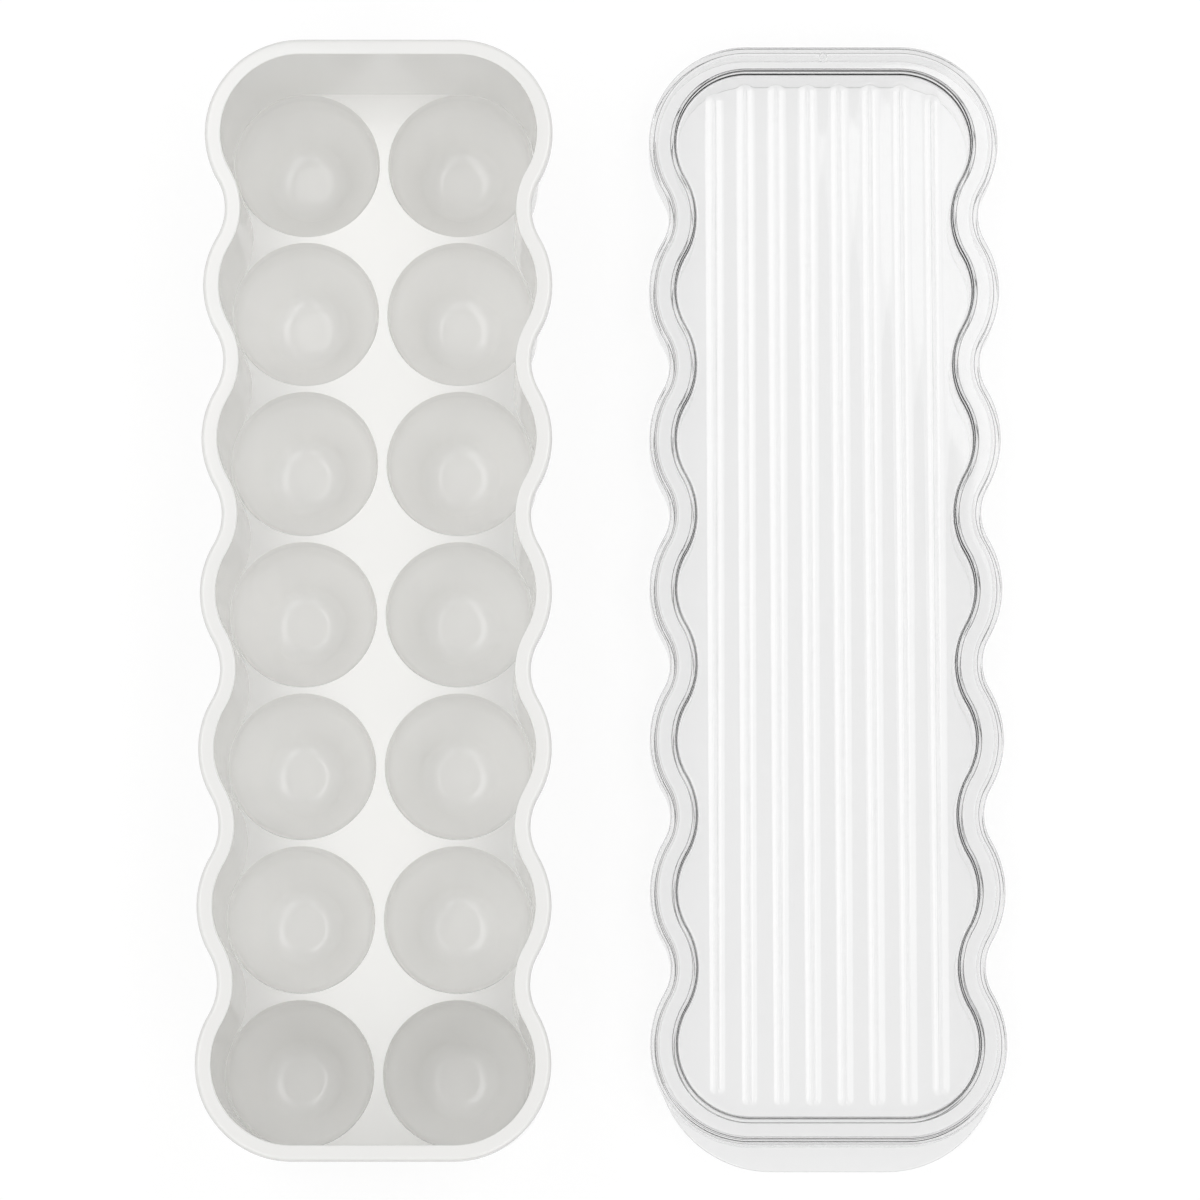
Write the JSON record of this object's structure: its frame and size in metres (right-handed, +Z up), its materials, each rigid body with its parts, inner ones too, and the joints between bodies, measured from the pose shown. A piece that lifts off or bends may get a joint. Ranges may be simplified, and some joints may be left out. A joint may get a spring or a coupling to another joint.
{
  "type": "egg keeper with lid",
  "caption": "Long scalloped egg bin with round wells in two columns, and a loose clear ribbed lid with a thumb lip lying beside it.",
  "frame": {"origin": "middle of the box round the tray and the lid laid beside it, on the surface that both rest on", "axes": "+X from the tray to the lid, +Y along both, from the lid's thumb lip to its other end, +Z up"},
  "size_m": [0.2478, 0.3568, 0.077],
  "materials": {
    "tray_plastic": "white, gloss, injection moulded",
    "lid_plastic": "clear, polished, injection moulded"
  },
  "bodies": {
    "tray": {"tray": "tray_plastic"},
    "lid": {"lid": "lid_plastic"}
  },
  "joints": [
    {"name": "lid_lift", "type": "slide", "parent": "tray", "child": "lid", "axis": [0, 0, 1], "range_m": [0, 0.12]}
  ]
}
